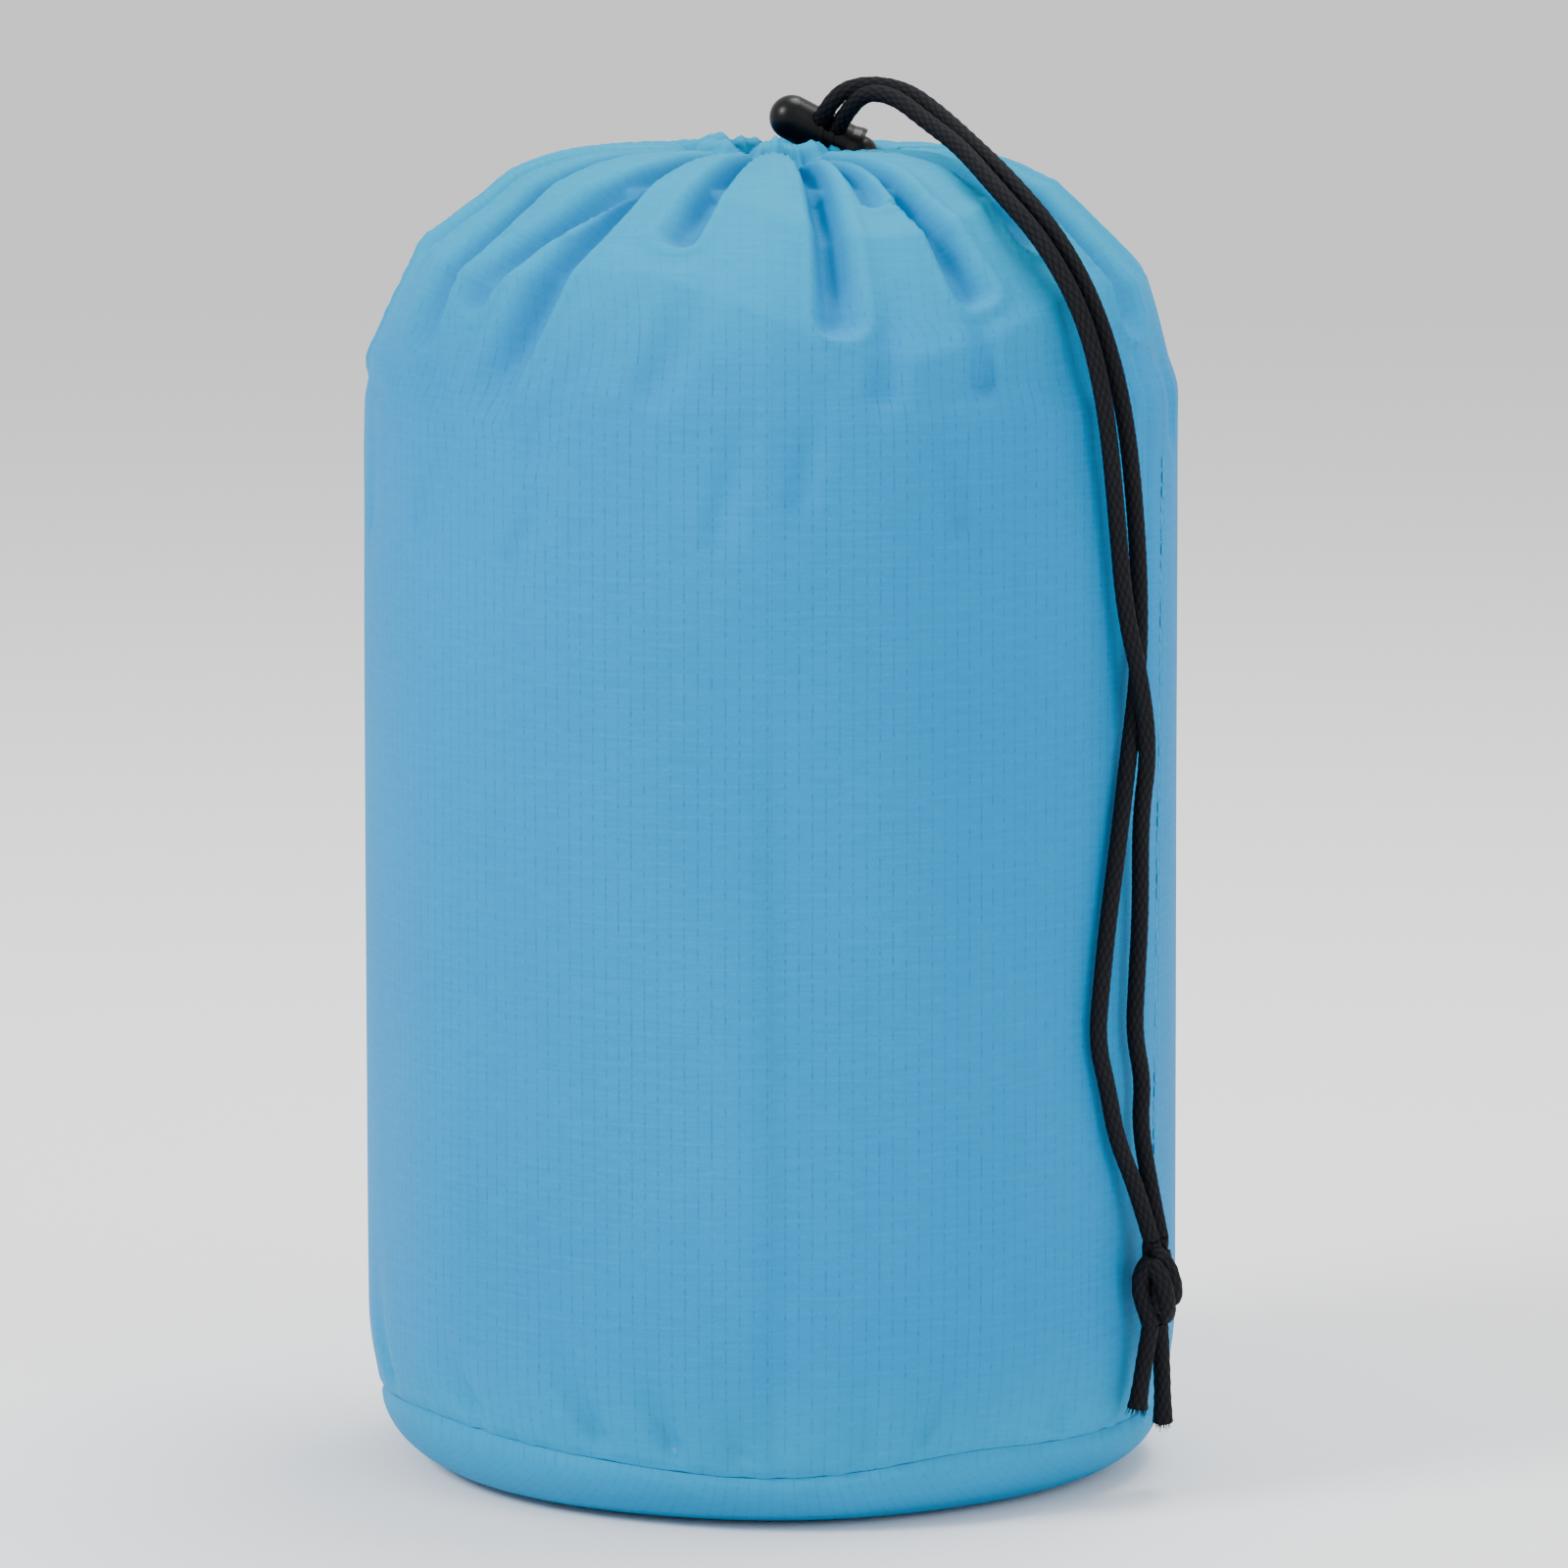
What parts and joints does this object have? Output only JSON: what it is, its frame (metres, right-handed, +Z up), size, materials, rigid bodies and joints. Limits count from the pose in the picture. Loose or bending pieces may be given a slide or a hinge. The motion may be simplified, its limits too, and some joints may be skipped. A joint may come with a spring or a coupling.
{
  "type": "packed bivy sack",
  "caption": "Bivy sack rolled up in its round ripstop drawcord stuff sack, with a barrel cord lock and knotted cord tails.",
  "frame": {"origin": "centre of the round base, on the ground", "axes": "+Z up along the sack, -Y the front, +X to the right seen from the front; the cord tails lie on the front right"},
  "size_m": [0.1492, 0.1492, 0.2547],
  "materials": {
    "ripstop_nylon": "light ripstop nylon, plain weave with a raised grid, soft sheen",
    "seam_tape": "bound seam allowance of the same nylon",
    "black_cord": "round braided polyester cord",
    "black_plastic": "moulded, fine satin",
    "spring_steel": "drawn wire",
    "bivy_nylon": "coated ripstop nylon",
    "zip_tape": "woven polyester tape",
    "zip_plastic": "moulded",
    "zip_metal": "painted die casting"
  },
  "bodies": {
    "sack": {"sack_wall": "ripstop_nylon", "base_panel": "ripstop_nylon", "base_seam_tape": "seam_tape", "side_seam_tape": "seam_tape", "drawcord_channel": "ripstop_nylon", "channel_bartacks": "seam_tape", "drawcord_loop": "black_cord", "tail_front": "black_cord", "tail_back": "black_cord", "drawcord_knot": "black_cord", "cord_end_left": "black_cord", "cord_end_right": "black_cord", "bivy_upper_sheet": "bivy_nylon", "bivy_floor_sheet": "bivy_nylon", "zip_tape": "zip_tape", "zip_chain": "zip_plastic", "zip_slider": "zip_metal", "zip_pull": "zip_metal", "hood_drawcord": "black_cord", "hood_cord_lock": "black_plastic"},
    "cord_lock": {"lock_barrel": "black_plastic", "lock_spring": "spring_steel"},
    "plunger": {"lock_plunger": "black_plastic"}
  },
  "joints": [
    {"name": "lock_slide", "type": "slide", "parent": "sack", "child": "cord_lock", "axis": [0.2998, -0.766, 0.5686], "range_m": [0, 0.01], "deforming": ["tail_front", "tail_back", "drawcord_loop"]},
    {"name": "plunger_press", "type": "slide", "parent": "cord_lock", "child": "plunger", "axis": [-0.8846, 0, 0.4664], "range_m": [0, 0.0024], "stiffness_N_per_m": 300, "springref_m": -0.002, "deforming": ["lock_spring", "tail_front", "tail_back", "drawcord_loop"]}
  ]
}
